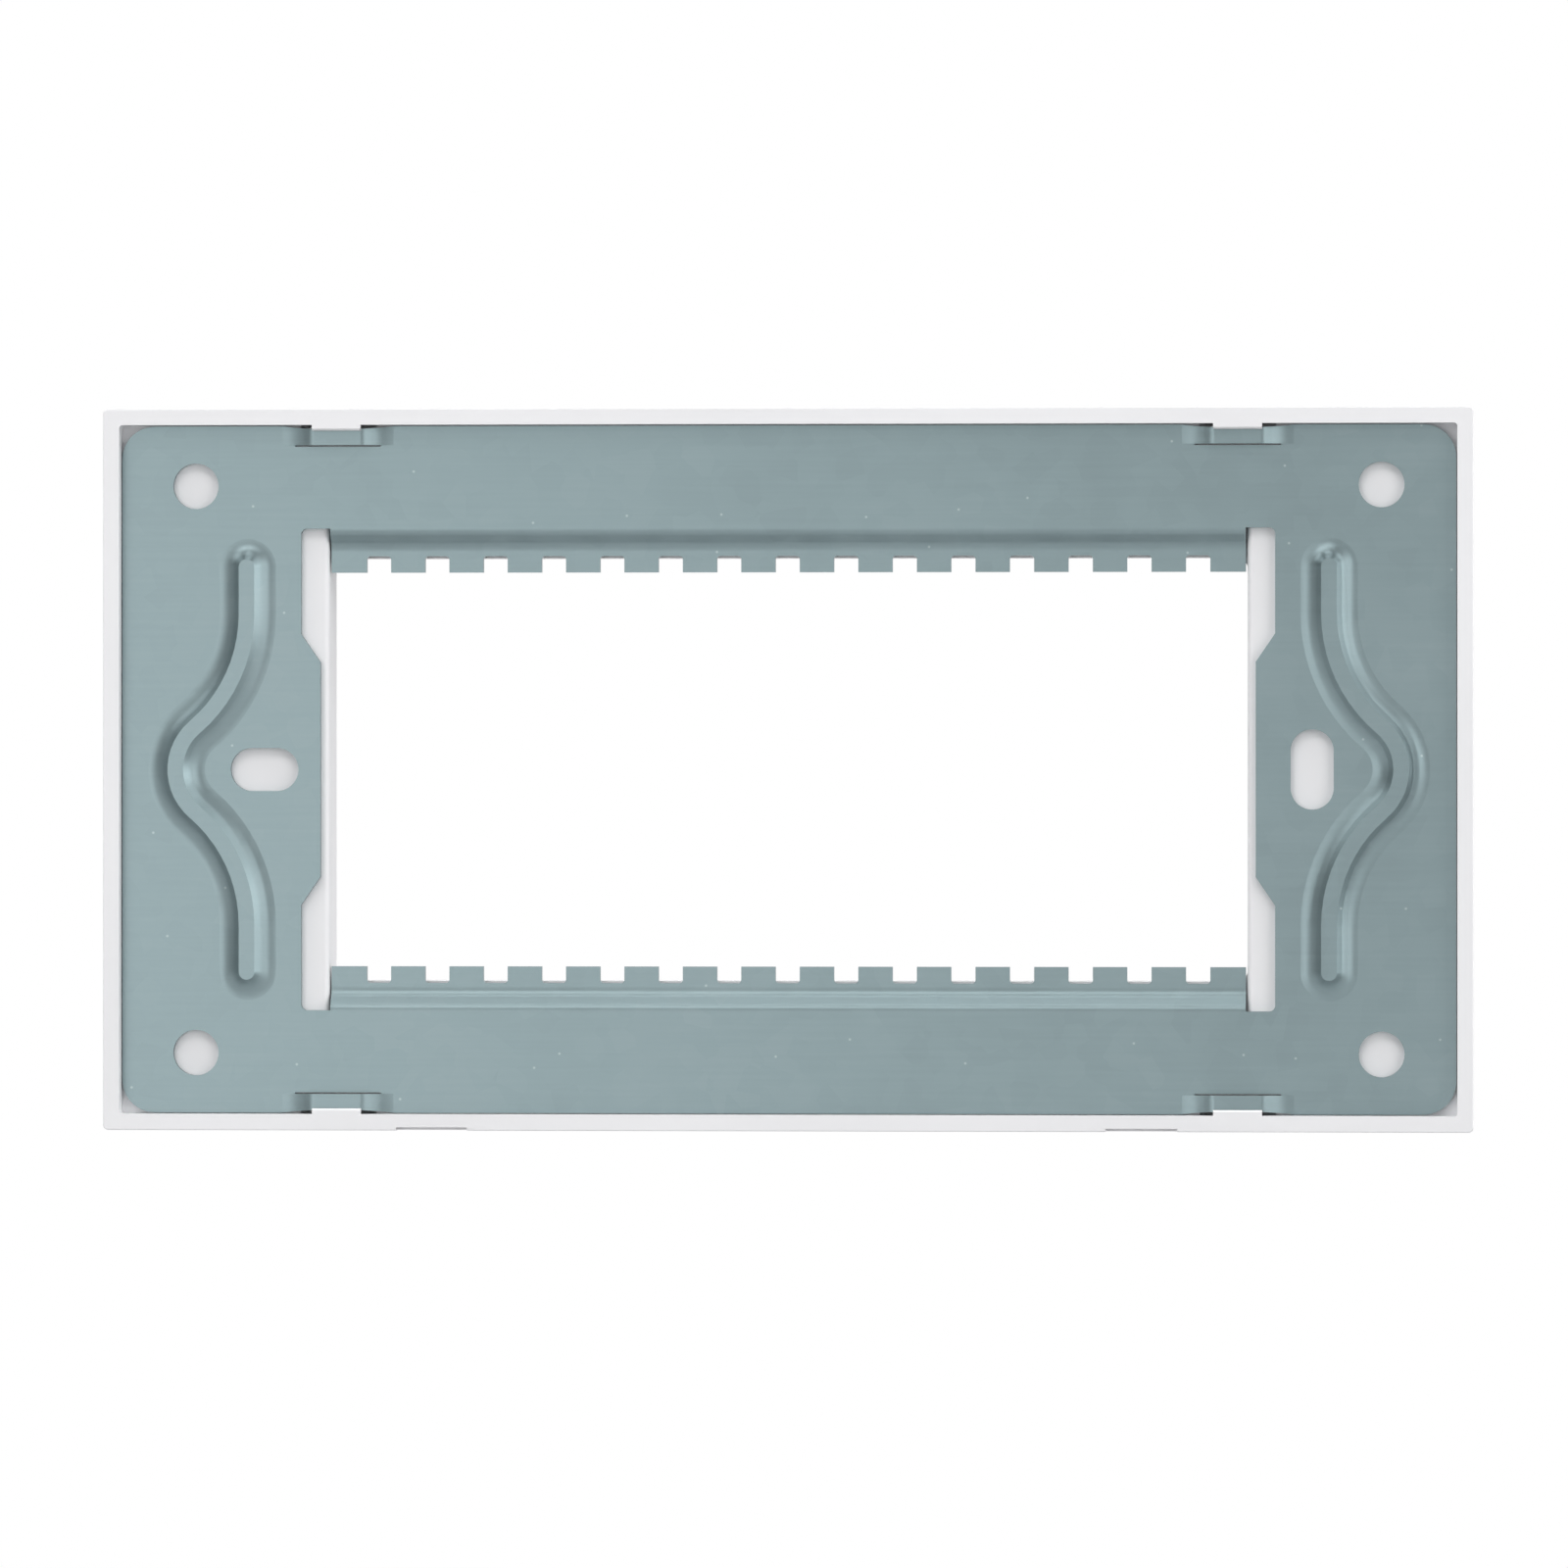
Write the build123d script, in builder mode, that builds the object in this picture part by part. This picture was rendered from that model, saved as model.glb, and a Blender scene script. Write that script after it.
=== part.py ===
from build123d import *
import os
from math import acos, degrees, radians, sin, tan

# Glass cover frame for a double wall box, in its fitted attitude: X along the length, Z up, the wall towards -Y.
# The steel plate's rear face is the datum, at Y = 0. A height is measured from it towards the wall,
# and a drop away from it towards the room, so Plane.XZ.offset(height) lies at Y = -height.

# Along the length, everything is placed from the two screws of a standard double wall box
box_screw_spacing = 120.6
screw_to_end = 16.5
screw_to_opening = 6.45
screw_to_catch = 8.5
screw_to_pry = 19.5
screw_to_rib = 1.95

# Across the height, everything is placed from the cover's own height or from the comb that holds the modules
cover_height = 83.0
comb_height = 45.4

# Carrier: a rim round the steel plate, a seat that the plate lies on, and a recess in it for the comb flanges
cover_corner_r = 0.6
arris = 0.12
rim_wall = 1.85
rim_height = 2.2
cavity_corner_r = 0.4
comb_room = 0.8
recess_margin = 0.6
floor_thickness = 1.6

# Module window through the carrier, with a collar that lines the glass
window_side_margin = 0.95
window_comb_margin = 1.7
window_corner_r = 1.4
window_lip_r = 0.6
collar_wall = 1.0
collar_shortfall = 0.2

# Catches that hook over the plate's bridges, each with a moulding opening under it
catch_width = 5.6
catch_reach = 0.65
catch_gap = 0.1
catch_lead_in = 0.2
shutoff_width = 8.75
shutoff_reach = 2.2

# Notches in the lower edge for a screwdriver
pry_width = 8.2
pry_depth = 0.37
pry_run = 2.6

# Glass and the adhesive film that holds it, which stays clear of the moulding openings
glass_thickness = 4.0
glass_inset = 0.3
glass_corner_r = 1.2
glass_collar_gap = 0.1
glass_bevel = 0.6
glass_arris = 0.2
tape_thickness = 0.25
tape_inset = 4.2
tape_collar_gap = 0.8

# Steel plate, its four round fixing holes and its two box screw slots
sheet = 1.0
plate_clearance = 0.1
plate_corner_r = 3.8
fixing_to_end = 8.55
fixing_to_edge = 6.9
fixing_hole_d = 5.25
box_slot_width = 4.95
level_slot_length = 7.85
upright_slot_length = 9.2

# Relief slots at the corners of the module opening
relief_reach = 2.22
relief_height = 12.15
relief_slant = 3.25
relief_corner_r = 0.7

# Comb flanges: a crease away from the wall, a soft bend back to level, and a lip with notches
joggle_drop = 1.6
joggle_slope = 45
crease_r = 0.6
foot_r = 2.1
comb_lip = 3.2
comb_side_gap = 1.15
tooth_pitch = 6.745
notch_width = 2.8
notch_depth = 1.9
notch_root_r = 0.4

# Stiffening ribs pressed towards the wall, each sweeping round a box screw slot
rib_bulge = 8.25
rib_length = 48.4
rib_crown = 1.8
rib_height = 1.3
rib_flank = 45
rib_sweep_r = 17.0
rib_apex_r = 6.4
rib_root_r = 2.6

# Bridges lanced out of the plate's long edges, and the shallow waist that pressing them leaves there
bridge_crown = 5.7
bridge_ramp = 2.1
bridge_width = 2.2
bridge_lift = 0.1
bridge_foot_r = 6.0
bridge_bend_r = 0.8
lance_gap = 0.15
waist_length = 13.0
waist_depth = 0.4

# Plate, cavity and cover, each larger than the one inside it
plate_length = box_screw_spacing + 2 * screw_to_end
cavity_length = plate_length + 2 * plate_clearance
cover_length = cavity_length + 2 * rim_wall
cavity_height = cover_height - 2 * rim_wall
plate_height = cavity_height - 2 * plate_clearance

# Opening, with as many notches in the comb as its length holds
opening_length = box_screw_spacing - 2 * screw_to_opening
relief_span = opening_length + 2 * relief_reach
tooth_width = tooth_pitch - notch_width
comb_length = opening_length - 2 * comb_side_gap
notch_count = int((comb_length - tooth_width) / tooth_pitch)
crease_tangent = crease_r * tan(radians(joggle_slope / 2))
joggle_run = joggle_drop / tan(radians(joggle_slope))
bend_height = comb_height + 2 * (comb_lip + joggle_run + crease_tangent)
relief_start = bend_height - 2 * relief_height
side_height = relief_start - 2 * relief_slant
window_length = opening_length - 2 * window_side_margin
window_height = comb_height + 2 * window_comb_margin
collar_length = window_length + 2 * collar_wall
collar_height = window_height + 2 * collar_wall
collar_corner_r = window_corner_r + collar_wall

# Depths through the sheet and the moulding
mid_sheet = sheet / 2
bridge_height = sheet + bridge_lift
catch_thickness = rim_height - bridge_height - catch_gap
floor_drop = sheet + joggle_drop + comb_room
carrier_front = floor_drop + floor_thickness
glass_back = carrier_front + tape_thickness
collar_reach = tape_thickness + glass_thickness - collar_shortfall

# Places of the holes, the catches, the bridges and the screwdriver notches
fixing_spacing_x = plate_length - 2 * fixing_to_end
fixing_spacing_z = plate_height - 2 * fixing_to_edge
catch_x = box_screw_spacing / 2 - screw_to_catch
pry_x = box_screw_spacing / 2 - screw_to_pry
bridge_length = bridge_crown + 2 * bridge_ramp
lance_z = plate_height / 2 - bridge_width
edge_z = plate_height / 2

# Two heights closer than this are the same
same_height = 0.001


# Rib: flanks at one angle, and a hollow that leaves the sheet at one thickness
rib_x = box_screw_spacing / 2 + screw_to_rib
rib_run = rib_height / tan(radians(rib_flank))
rib_hollow = rib_crown - 2 * sheet * tan(radians(rib_flank / 2))
rib_turn = degrees(acos(1 - rib_bulge / (rib_sweep_r + rib_apex_r)))
rib_straight = (rib_sweep_r + rib_apex_r) * sin(radians(rib_turn))
rib_end = rib_length / 2 - rib_crown / 2

with BuildLine() as rib_path:
    upper_run = Line((rib_x, rib_end), (rib_x, rib_straight))
    upper_sweep = JernArc(upper_run @ 1, upper_run % 1, rib_sweep_r, rib_turn)
    apex = JernArc(upper_sweep @ 1, upper_sweep % 1, rib_apex_r, -2 * rib_turn)
    lower_sweep = JernArc(apex @ 1, apex % 1, rib_sweep_r, rib_turn)
    Line(lower_sweep @ 1, (rib_x, -rib_end))


def on_rear_face(edge):
    """An edge that lies in the plate's rear face."""
    box = edge.bounding_box()
    return abs(box.min.Y) < same_height and abs(box.max.Y) < same_height


def on_plate_seat(edge):
    """An edge in the face of the carrier that the plate lies on."""
    box = edge.bounding_box()
    return abs(box.min.Y - sheet) < same_height and abs(box.max.Y - sheet) < same_height


def on_catch_tip(edge):
    """The edge of a catch's hook that meets the plate first."""
    tip_z = cavity_height / 2 - catch_reach
    middle = edge.center()
    return abs(abs(middle.Z) - tip_z) < same_height and abs(middle.Y + rim_height) < same_height


# Steel plate, one quarter of the blank first
with BuildPart() as mounting_plate:
    with BuildSketch(Plane.XZ) as blank:
        with BuildLine():
            Polyline(
                (0, bend_height / 2),
                (relief_span / 2, bend_height / 2),
                (relief_span / 2, relief_start / 2),
                (opening_length / 2, side_height / 2),
                (opening_length / 2, 0),
                (plate_length / 2, 0),
                (plate_length / 2, plate_height / 2),
                (0, plate_height / 2),
                close=True,
            )
        make_face()
        outer_corner = blank.vertices().sort_by(Axis.X)[-2:].sort_by(Axis.Y)[-1]
        fillet(outer_corner, plate_corner_r)
        relief_corner = blank.vertices().group_by(Axis.X)[-3].sort_by(Axis.Y)[-1]
        fillet(relief_corner, relief_corner_r)
    extrude(amount=-sheet)

    # Comb flange: bent away from the wall and level again, at one sheet thickness throughout
    with BuildSketch(Plane.YZ):
        with BuildLine():
            FilletPolyline(
                (mid_sheet, bend_height / 2 + sheet),
                (mid_sheet, comb_height / 2 + comb_lip + joggle_run),
                (mid_sheet + joggle_drop, comb_height / 2 + comb_lip),
                (mid_sheet + joggle_drop, comb_height / 2),
                radius=(crease_r, foot_r),
            )
        trace(line_width=sheet)
    extrude(amount=comb_length / 2)

    # Bridge: the strip outside the lance line rises towards the wall between two ramps
    with BuildSketch(Plane.XZ):
        with Locations((catch_x, lance_z - lance_gap)):
            Rectangle(bridge_length, bridge_width + lance_gap, align=(Align.CENTER, Align.MIN))
    extrude(amount=-sheet, mode=Mode.SUBTRACT)
    with BuildSketch(Plane.XY.offset(lance_z)):
        with BuildLine():
            FilletPolyline(
                (catch_x - bridge_length / 2 - 2 * sheet, mid_sheet),
                (catch_x - bridge_length / 2, mid_sheet),
                (catch_x - bridge_crown / 2, mid_sheet - bridge_height),
                (catch_x + bridge_crown / 2, mid_sheet - bridge_height),
                (catch_x + bridge_length / 2, mid_sheet),
                (catch_x + bridge_length / 2 + 2 * sheet, mid_sheet),
                radius=(bridge_foot_r, bridge_bend_r, bridge_bend_r, bridge_foot_r),
            )
        trace(line_width=sheet)
    extrude(amount=bridge_width)
    with BuildSketch(Plane.XZ):
        with BuildLine():
            SagittaArc(
                (catch_x + waist_length / 2, edge_z),
                (catch_x - waist_length / 2, edge_z),
                waist_depth,
            )
            Polyline(
                (catch_x - waist_length / 2, edge_z),
                (catch_x - waist_length / 2, edge_z + sheet),
                (catch_x + waist_length / 2, edge_z + sheet),
                (catch_x + waist_length / 2, edge_z),
            )
        make_face()
    extrude(amount=sheet + bridge_height, both=True, mode=Mode.SUBTRACT)

    # The lower half of this end, then the rib that runs over both: a boss outside and a hollow inside
    mirror(about=Plane.XY)
    with BuildSketch(Plane.XZ):
        SlotArc(rib_path.wire(), rib_crown + 2 * rib_run)
    extrude(amount=rib_height, taper=rib_flank)
    rib_root = mounting_plate.edges(Select.LAST).filter_by(on_rear_face)
    fillet(rib_root, rib_root_r)
    with BuildSketch(Plane.XZ.offset(rib_height - sheet)):
        SlotArc(rib_path.wire(), rib_hollow)
    extrude(amount=-rib_height, taper=-rib_flank, mode=Mode.SUBTRACT)

    # The other end, the comb's notches and the holes
    mirror(about=Plane.YZ)
    with BuildSketch(Plane.XZ):
        with GridLocations(tooth_pitch, comb_height, notch_count, 2):
            RectangleRounded(notch_width, 2 * notch_depth, notch_root_r)
    extrude(amount=-(sheet + joggle_drop), mode=Mode.SUBTRACT)
    with BuildSketch(Plane.XZ):
        with GridLocations(fixing_spacing_x, fixing_spacing_z, 2, 2):
            Circle(fixing_hole_d / 2)
        with Locations((-box_screw_spacing / 2, 0)):
            SlotOverall(level_slot_length, box_slot_width)
        with Locations((box_screw_spacing / 2, 0)):
            SlotOverall(upright_slot_length, box_slot_width, rotation=90)
    extrude(amount=-sheet, mode=Mode.SUBTRACT)


# Carrier: rim, seat and window collar moulded in one piece
with BuildPart() as cover_carrier:
    with BuildSketch(Plane.XZ.offset(rim_height)):
        RectangleRounded(cover_length, cover_height, cover_corner_r)
    extrude(amount=-(rim_height + carrier_front))
    fillet(cover_carrier.faces().sort_by(Axis.Y)[0].edges(), arris)
    with BuildSketch(Plane.XZ.offset(rim_height)):
        RectangleRounded(cavity_length, cavity_height, cavity_corner_r)
    extrude(amount=-(rim_height + sheet), mode=Mode.SUBTRACT)

    # Recess for the comb flanges, as wide as the window, its two side edges rounded over
    with BuildSketch(Plane.XZ.offset(-sheet)):
        Rectangle(window_length, bend_height + 2 * recess_margin)
    extrude(amount=-(floor_drop - sheet), mode=Mode.SUBTRACT)
    window_lip = cover_carrier.edges(Select.LAST).filter_by(Axis.Z).filter_by(on_plate_seat)
    fillet(window_lip, window_lip_r)

    # Collar towards the room, then the window for the modules through it and the floor
    with BuildSketch(Plane.XZ.offset(-carrier_front)):
        RectangleRounded(collar_length, collar_height, collar_corner_r)
    extrude(amount=-collar_reach)
    with BuildSketch(Plane.XZ.offset(-floor_drop)):
        RectangleRounded(window_length, window_height, window_corner_r)
    extrude(amount=-(floor_thickness + collar_reach), mode=Mode.SUBTRACT)

    # Openings under the catches go right through, so that the mould can form the hooks
    with BuildSketch(Plane.XZ.offset(-sheet)):
        with GridLocations(2 * catch_x, cavity_height - shutoff_reach, 2, 2):
            Rectangle(shutoff_width, shutoff_reach)
    extrude(amount=-(carrier_front - sheet), mode=Mode.SUBTRACT)
    with BuildSketch(Plane.XZ.offset(rim_height)):
        with GridLocations(2 * catch_x, cavity_height - catch_reach, 2, 2):
            Rectangle(catch_width, catch_reach)
    extrude(amount=-catch_thickness)
    lead_in = cover_carrier.edges().filter_by(Axis.X).filter_by(on_catch_tip)
    chamfer(lead_in, catch_lead_in)

    # Screwdriver notches in the lower edge
    with BuildSketch(Plane.XZ.offset(rim_height)):
        with Locations((-pry_x, -cover_height / 2), (pry_x, -cover_height / 2)):
            Rectangle(pry_width, 2 * pry_depth)
    extrude(amount=-pry_run, mode=Mode.SUBTRACT)


# Glass panel: one pane with the module window cut out of it
with BuildPart() as glass_panel:
    with BuildSketch(Plane.XZ.offset(-glass_back)):
        RectangleRounded(cover_length - 2 * glass_inset, cover_height - 2 * glass_inset, glass_corner_r)
        RectangleRounded(
            collar_length + 2 * glass_collar_gap,
            collar_height + 2 * glass_collar_gap,
            collar_corner_r + glass_collar_gap,
            mode=Mode.SUBTRACT,
        )
    extrude(amount=-glass_thickness)
    chamfer(glass_panel.faces().sort_by(Axis.Y)[-1].edges(), glass_bevel)
    chamfer(glass_panel.faces().sort_by(Axis.Y)[0].edges(), glass_arris)


# Adhesive film between the carrier and the glass
with BuildPart() as bonding_tape:
    with BuildSketch(Plane.XZ.offset(-carrier_front)):
        Rectangle(cover_length - 2 * tape_inset, cover_height - 2 * tape_inset)
        Rectangle(
            collar_length + 2 * tape_collar_gap,
            collar_height + 2 * tape_collar_gap,
            mode=Mode.SUBTRACT,
        )
    extrude(amount=-tape_thickness)


os.makedirs("parts", exist_ok=True)

mounting_plate.part.label = "mounting_plate"
export_step(mounting_plate.part, "parts/mounting_plate.step")

cover_carrier.part.label = "cover_carrier"
export_step(cover_carrier.part, "parts/cover_carrier.step")

glass_panel.part.label = "glass_panel"
export_step(glass_panel.part, "parts/glass_panel.step")

bonding_tape.part.label = "bonding_tape"
export_step(bonding_tape.part, "parts/bonding_tape.step")
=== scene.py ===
import bpy
import math
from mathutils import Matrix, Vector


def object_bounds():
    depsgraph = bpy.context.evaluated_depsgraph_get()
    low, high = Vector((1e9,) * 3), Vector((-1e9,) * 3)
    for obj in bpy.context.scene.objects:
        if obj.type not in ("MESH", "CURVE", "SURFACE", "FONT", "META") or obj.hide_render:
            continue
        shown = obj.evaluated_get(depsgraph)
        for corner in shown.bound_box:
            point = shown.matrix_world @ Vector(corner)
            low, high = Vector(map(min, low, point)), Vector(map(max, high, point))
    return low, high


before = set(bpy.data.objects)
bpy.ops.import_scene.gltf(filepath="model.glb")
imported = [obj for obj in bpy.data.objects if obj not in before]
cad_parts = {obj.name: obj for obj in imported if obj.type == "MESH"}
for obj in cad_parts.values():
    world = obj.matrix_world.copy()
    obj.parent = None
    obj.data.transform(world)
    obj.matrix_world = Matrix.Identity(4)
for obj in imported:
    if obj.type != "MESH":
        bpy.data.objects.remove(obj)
cad_low, cad_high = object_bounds()

# Camera: behind the wall side, a little to the right of the middle, as the photograph's was
CAMERA_DISTANCE = 1.2
CAMERA_YAW = math.radians(3.5)
PIXELS = 1600
PIXELS_PER_METRE = 8896.0
PHOTO_CENTRE = (801.6, 785.2)
SENSOR = 36.0

# Floor: it takes the shadow round this centre, and is plain white from one distance to the other
FLOOR_DROP = 0.11
FLOOR_SIZE = 6.0
# Grey the floor shows to bounced light only: painted shade, so that less light bounces up onto the
# part
FLOOR_BOUNCE = (150, 150, 150)
SHADOW_CENTRE = (-0.1, -0.1, 0.0)
SHADOW_REACH = (0.26, 0.34)

WHITE = (1.0, 1.0, 1.0, 1.0)

# Backdrop: the studio's light, and where its mirror image turns white on the room side
AMBIENT = 0.3
BACKDROP_TURN = (0.1, 0.5)

# Patterns of the finishes, in cells to a metre
ZINC_CLOUDS = 45.0
ZINC_CRYSTALS = 420.0
ROLLING_LINES = (60.0, 60.0, 1800.0)
ZINC_SPECKS = 75.0
MOULDING_GRAIN = 2600.0
MOULDING_CLOUDS = 30.0
PANE_CLOUDS = 25.0
FOAM_CELLS = 3000.0
FLOOR_GRAIN = 900.0

# A speck's radius where it starts to fade and where it ends, as shares of a cell
SPECK_FADE = (0.006, 0.014)

# The pane's faces look along Y to within this share, and all else on it is edge
PANE_FACE = 0.9


# Shader maths: a socket that takes Python's operators

class Value:
    """A number on a shader's link, with Python's operators."""

    def __init__(self, nodes, socket):
        self.nodes = nodes
        self.socket = socket

    def _math(self, operation, *terms, clamp=False):
        settings = {"operation": operation, "use_clamp": clamp}
        return self.nodes.node("ShaderNodeMath", settings, list(terms))

    def __add__(self, other):
        return self._math("ADD", self, other)

    def __radd__(self, other):
        return self._math("ADD", other, self)

    def __sub__(self, other):
        return self._math("SUBTRACT", self, other)

    def __rsub__(self, other):
        return self._math("SUBTRACT", other, self)

    def __mul__(self, other):
        return self._math("MULTIPLY", self, other)

    def __rmul__(self, other):
        return self._math("MULTIPLY", other, self)

    def __gt__(self, other):
        return self._math("GREATER_THAN", self, other)

    def absolute(self):
        return self._math("ABSOLUTE", self)

    def rising(self, low, high):
        """0 below one value, 1 above the other, and a straight climb between them."""
        return self._math("DIVIDE", self - low, high - low, clamp=True)


class Nodes:
    """A node tree, and the one method that adds to it."""

    def __init__(self, tree):
        self.tree = tree

    def node(self, kind, settings=None, inputs=(), output=0):
        """A node with its settings, then its inputs by place or by name; gives one output."""
        made = self.tree.nodes.new(kind)
        for name, setting in (settings or {}).items():
            if name == "stops":
                self._stops(made.color_ramp, setting)
            else:
                setattr(made, name, setting)
        named = inputs.items() if isinstance(inputs, dict) else enumerate(inputs)
        for place, value in named:
            if isinstance(value, Value):
                self.tree.links.new(value.socket, made.inputs[place])
            else:
                made.inputs[place].default_value = value
        return Value(self, made.outputs[output])

    def _stops(self, ramp, stops):
        while len(ramp.elements) < len(stops):
            ramp.elements.new(1.0)
        for element, (place, colour) in zip(ramp.elements, stops):
            element.position = place
            element.color = colour

    def ray(self, kind):
        """1 for rays of one kind."""
        return self.node("ShaderNodeLightPath", output="Is " + kind + " Ray")


class Finish(Nodes):
    """One material: a Principled shader, its constants, and the nodes that feed it."""

    def __init__(self, name, **constants):
        self.material = bpy.data.materials.new(name)
        self.material.use_nodes = True
        super().__init__(self.material.node_tree)
        self.shader = self.tree.nodes["Principled BSDF"]
        for socket_name, value in constants.items():
            self._socket(socket_name).default_value = value

    def _socket(self, name):
        """A shader's input, with its name written as an argument's, such as Base_Color."""
        return self.shader.inputs[name.replace("_", " ")]

    def place(self):
        """Where a point lies on the piece, in metres."""
        return self.node("ShaderNodeTexCoord", output="Object")

    def stretched(self, vector, scale):
        return self.node("ShaderNodeMapping", inputs={"Vector": vector, "Scale": scale})

    def turned(self, vector, rotation):
        return self.node("ShaderNodeMapping", inputs={"Vector": vector, "Rotation": rotation})

    def cells(self, vector, scale, output, dimensions="3D"):
        """Random cells: each one's own colour, or the distance to its middle."""
        settings = {"voronoi_dimensions": dimensions}
        inputs = {"Vector": vector, "Scale": scale}
        return self.node("ShaderNodeTexVoronoi", settings, inputs, output)

    def noise(self, vector, scale, detail=2.0):
        inputs = {"Vector": vector, "Scale": scale, "Detail": detail}
        return self.node("ShaderNodeTexNoise", inputs=inputs, output="Fac")

    def ramp(self, value, *stops):
        return self.node("ShaderNodeValToRGB", {"stops": stops}, [value], "Color")

    def mix(self, factor, one, other):
        """Blends two colours."""
        settings = {"data_type": "RGBA"}
        return self.node("ShaderNodeMix", settings, {0: factor, 6: one, 7: other}, 2)

    def bump(self, height, distance, strength):
        inputs = {"Height": height, "Distance": distance, "Strength": strength}
        return self.node("ShaderNodeBump", inputs=inputs, output="Normal")

    def feed(self, **links):
        """Links values to the shader, as in feed(Base_Color=colour)."""
        for name, value in links.items():
            self.tree.links.new(value.socket, self._socket(name))


def srgb(red, green, blue):
    """A colour written in sRGB steps of 0 to 255, as the shader's linear numbers."""
    def linear(step):
        share = step / 255
        return share / 12.92 if share <= 0.04045 else ((share + 0.055) / 1.055) ** 2.4
    return (linear(red), linear(green), linear(blue), 1.0)


def galvanised_steel():
    """Pressed zinc-coated sheet: blue-grey, satin, faintly mottled by its crystals and rolling."""
    steel = Finish("galvanised_steel", Metallic=0.95)
    place = steel.place()
    clouds = steel.noise(place, ZINC_CLOUDS, detail=3.0)
    crystals = steel.cells(place, ZINC_CRYSTALS, "Color")
    crystal = steel.node("ShaderNodeRGBToBW", inputs=[crystals])
    rolling = steel.noise(steel.stretched(place, ROLLING_LINES), scale=1.0)
    tone = clouds * 0.6 + crystal * 0.15 + rolling * 0.25
    colour = steel.ramp(
        tone,
        (0.25, srgb(122, 137, 140)),
        (0.5, srgb(128, 144, 147)),
        (0.78, srgb(135, 150, 153)),
    )

    # Bright specks in the zinc, far apart
    sheet = steel.turned(place, (math.pi / 2, 0.0, 0.0))
    to_speck = steel.cells(sheet, ZINC_SPECKS, "Distance", dimensions="2D")
    speck = 1.0 - to_speck.rising(*SPECK_FADE)
    steel.feed(
        Base_Color=steel.mix(speck * 0.3, colour, srgb(208, 218, 220)),
        Roughness=0.34 + tone * 0.12,
        Normal=steel.bump(rolling * 0.3 + crystal * 0.15, distance=0.00002, strength=0.3),
    )
    return steel.material


def white_moulding():
    """White injection-moulded plastic with a fine satin texture."""
    white = Finish("white_moulding")
    place = white.place()
    grain = white.noise(place, MOULDING_GRAIN)
    clouds = white.noise(place, MOULDING_CLOUDS)
    colour = white.ramp(clouds, (0.3, srgb(236, 236, 238)), (0.7, srgb(240, 240, 242)))
    white.feed(
        Base_Color=colour,
        Roughness=0.4 + grain * 0.12,
        Normal=white.bump(grain, distance=0.00001, strength=0.3),
    )
    return white.material


def white_glass():
    """Polished pane: the white coating behind shows through it, and its edges are faintly green."""
    glass = Finish("white_glass", Coat_Weight=0.6, Coat_Roughness=0.02)
    normal = glass.node("ShaderNodeNewGeometry", output="Normal")
    facing = glass.node("ShaderNodeSeparateXYZ", inputs=[normal], output="Y").absolute()
    clouds = glass.noise(glass.place(), PANE_CLOUDS, detail=1.0)
    edge = glass.ramp(clouds, (0.3, srgb(196, 216, 208)), (0.7, srgb(204, 222, 215)))
    face = glass.ramp(clouds, (0.3, srgb(238, 240, 240)), (0.7, srgb(240, 242, 242)))
    glass.feed(
        Base_Color=glass.mix(facing > PANE_FACE, edge, face),
        Roughness=0.02 + clouds * 0.04,
    )
    return glass.material


def adhesive_film():
    """Dark foam adhesive, with its fine cells."""
    film = Finish("adhesive_film", Roughness=0.7)
    cells = film.noise(film.place(), FOAM_CELLS)
    film.feed(
        Base_Color=film.ramp(cells, (0.3, srgb(52, 52, 54)), (0.7, srgb(66, 66, 68))),
        Normal=film.bump(cells, distance=0.00002, strength=0.5),
    )
    return film.material


FINISHES = {
    "mounting_plate": galvanised_steel,
    "cover_carrier": white_moulding,
    "glass_panel": white_glass,
    "bonding_tape": adhesive_film,
}


def dress_nodes():
    """Each CAD node takes its own finish."""
    for name, make in FINISHES.items():
        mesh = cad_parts[name].data
        mesh.materials.clear()
        mesh.materials.append(make())


def make_camera():
    """Aimed so that the rim's rear edge falls where the photograph has it."""
    data = bpy.data.cameras.new("camera")
    width = PIXELS / PIXELS_PER_METRE
    data.sensor_width = SENSOR
    data.lens = SENSOR * CAMERA_DISTANCE / width
    data.shift_x = (PIXELS / 2 - PHOTO_CENTRE[0]) / PIXELS
    data.shift_y = (PHOTO_CENTRE[1] - PIXELS / 2) / PIXELS
    camera = bpy.data.objects.new("camera", data)
    bpy.context.scene.collection.objects.link(camera)
    camera.location = (
        CAMERA_DISTANCE * math.sin(CAMERA_YAW),
        cad_low.y - CAMERA_DISTANCE * math.cos(CAMERA_YAW),
        0.0,
    )
    camera.rotation_euler = (math.pi / 2, 0.0, CAMERA_YAW)
    bpy.context.scene.camera = camera


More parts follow.
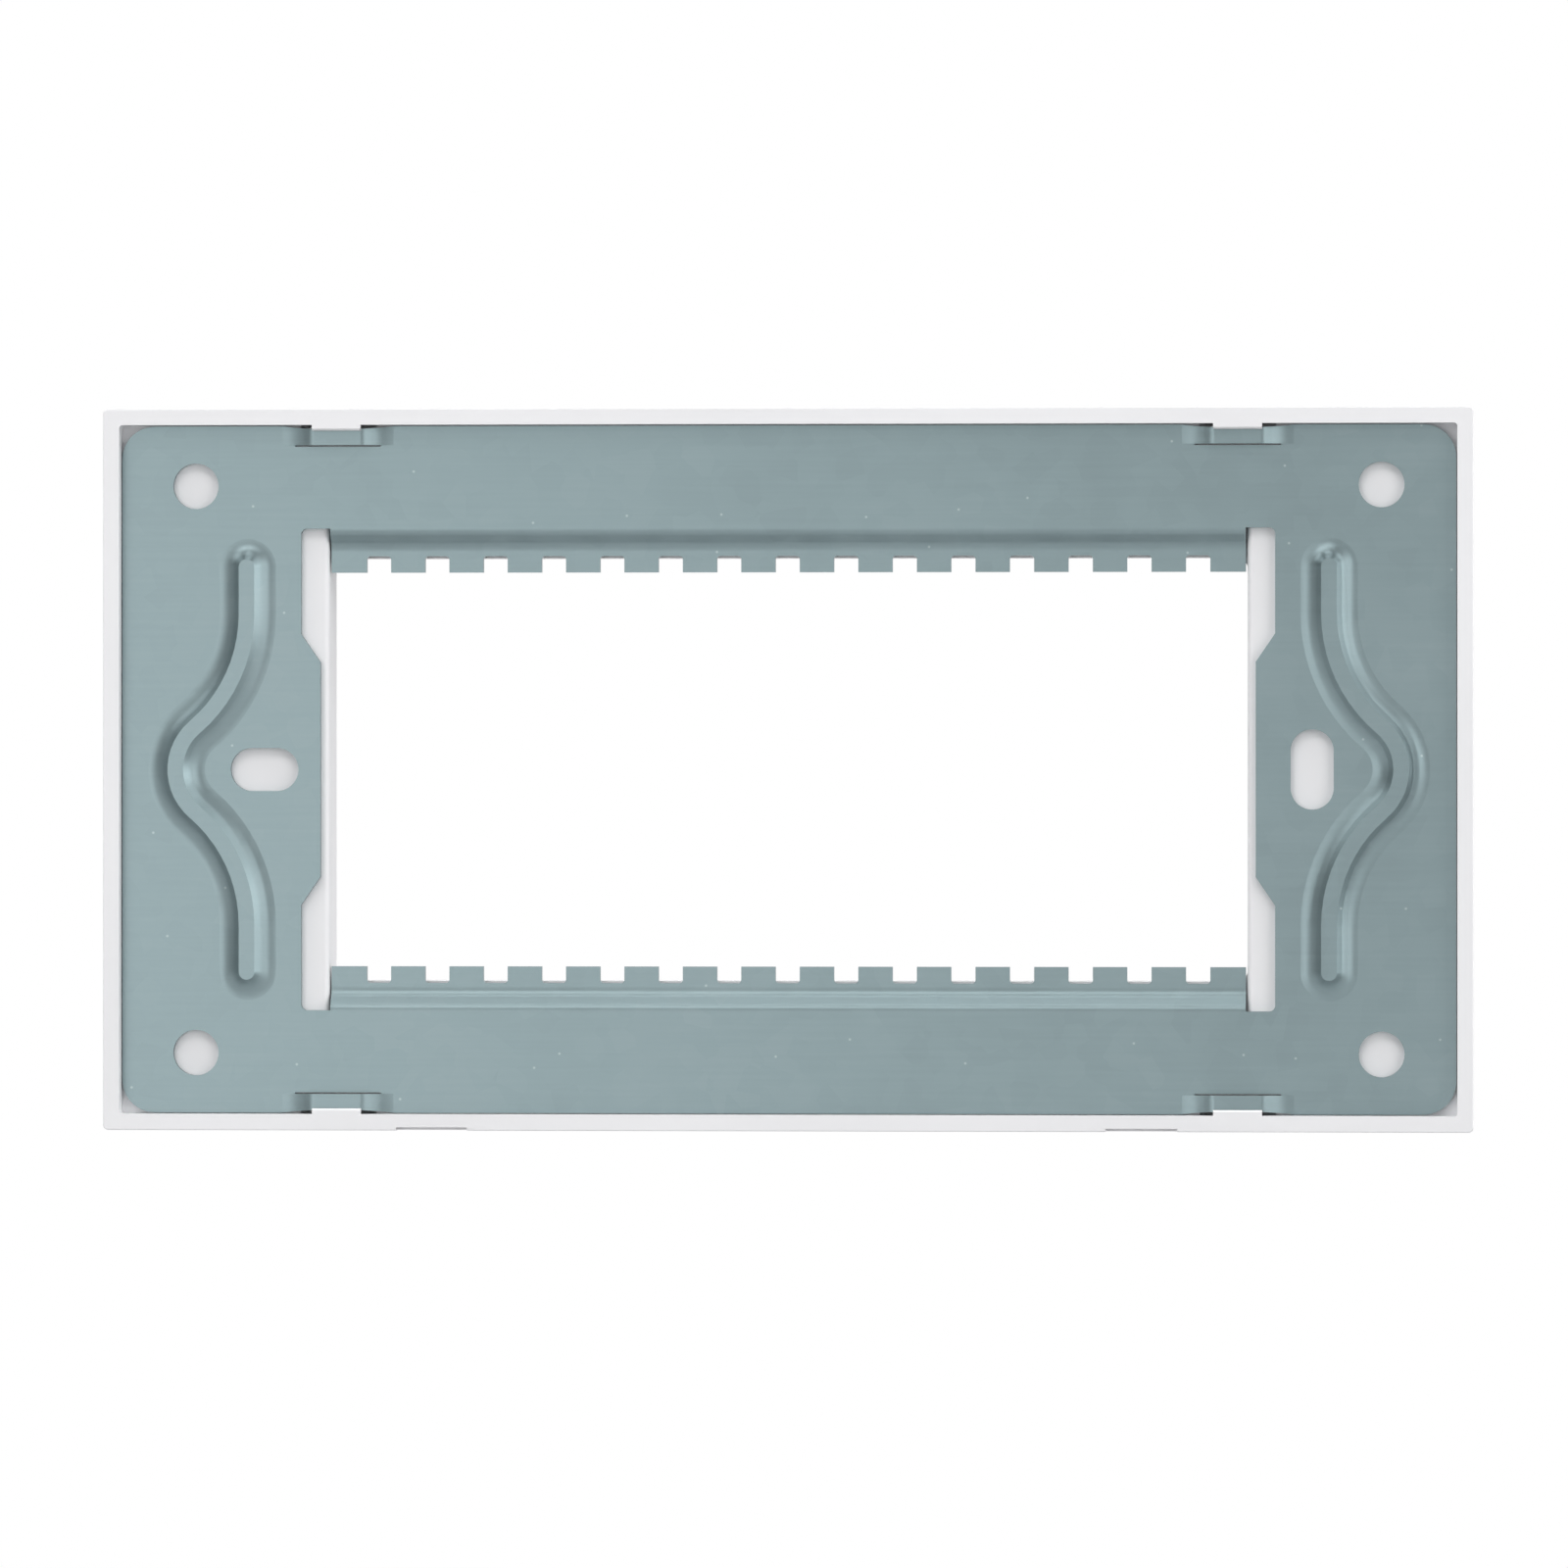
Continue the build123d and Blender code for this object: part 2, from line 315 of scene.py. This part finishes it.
def make_floor():
    """A pale floor that takes the object's shadow, and is white to the camera further out."""
    bpy.ops.object.select_all(action="DESELECT")
    bpy.ops.mesh.primitive_plane_add(size=FLOOR_SIZE, location=(0.0, 0.0, -FLOOR_DROP))
    floor = bpy.context.object
    floor.name = "floor"
    paint = Finish("floor_paint", Roughness=0.9)
    place = paint.place()
    grain = paint.noise(place, FLOOR_GRAIN)
    pale = paint.ramp(grain, (0.3, srgb(234, 234, 235)), (0.7, srgb(238, 238, 239)))
    # Bounced light sees the floor painted grey: painted shade that dims the light it throws up onto
    # the part
    paint.feed(Base_Color=paint.mix(paint.ray("Diffuse"), pale, srgb(*FLOOR_BOUNCE)))

    # Beyond the shadow's reach the floor shines as white as the backdrop
    distance = {"operation": "DISTANCE"}
    away = paint.node("ShaderNodeVectorMath", distance, [place, SHADOW_CENTRE], "Value")
    seen = paint.ray("Camera") + paint.ray("Glossy") + paint.ray("Transmission")
    white = paint.node("ShaderNodeEmission", inputs={"Color": WHITE}, output="Emission")
    body = Value(paint, paint.shader.outputs["BSDF"])
    shares = [away.rising(*SHADOW_REACH) * seen, body, white]
    surface = paint.node("ShaderNodeMixShader", inputs=shares)
    paint.tree.links.new(surface.socket, paint.tree.nodes["Material Output"].inputs["Surface"])
    floor.data.materials.append(paint.material)


def make_world():
    """White to the camera and in what mirrors the backdrop; the studio elsewhere is dimmer."""
    world = bpy.data.worlds.new("surroundings")
    world.use_nodes = True
    bpy.context.scene.world = world
    sky = Nodes(world.node_tree)
    direction = sky.node("ShaderNodeTexCoord", output="Generated")
    towards_room = sky.node("ShaderNodeSeparateXYZ", inputs=[direction], output="Y")
    room_side = towards_room.rising(*BACKDROP_TURN)
    mirrored = (sky.ray("Glossy") + sky.ray("Transmission")) * room_side
    strength = AMBIENT + (sky.ray("Camera") + mirrored) * (1.0 - AMBIENT)
    background = sky.tree.nodes["Background"]
    background.inputs["Color"].default_value = WHITE
    sky.tree.links.new(strength.socket, background.inputs["Strength"])


def make_lamp(name, power, size, place, mirrored=True):
    """A soft box facing the part's middle; one that isn't mirrored leaves no image in the glass."""
    data = bpy.data.lights.new(name, "AREA")
    data.energy = power
    data.shape = "RECTANGLE"
    data.size, data.size_y = size
    lamp = bpy.data.objects.new(name, data)
    lamp.visible_camera = False
    lamp.visible_glossy = mirrored
    bpy.context.scene.collection.objects.link(lamp)
    lamp.location = place
    lamp.rotation_euler = lamp.location.to_track_quat("Z", "Y").to_euler()


dress_nodes()
make_camera()
make_floor()
make_world()

# Each lamp's power in watts, then its size and its place in metres
make_lamp("behind_camera", 3.6, (1.6, 0.9), (-0.55, -1.4, 0.3))
make_lamp("low_left", 0.5, (0.36, 0.14), (-0.26, -0.8, -0.03))
make_lamp("right_front", 4.4, (0.7, 0.9), (0.86, -0.86, 0.1))
make_lamp("top_front", 4.0, (0.9, 0.4), (-0.2, -0.84, 0.88))
make_lamp("above", 2.6, (0.6, 0.3), (0.05, -0.1, 1.0))
make_lamp("upper_left", 2.1, (0.6, 0.5), (-0.75, -0.2, 0.7))
make_lamp("upper_right", 2.2, (0.5, 0.5), (0.74, -0.14, 0.72))
make_lamp("right_side", 4.0, (0.4, 0.7), (1.0, -0.12, 0.1))
make_lamp("room_side", 22.0, (1.0, 1.0), (-0.3, 1.6, 0.2), mirrored=False)

bpy.context.scene.view_settings.view_transform = "Standard"
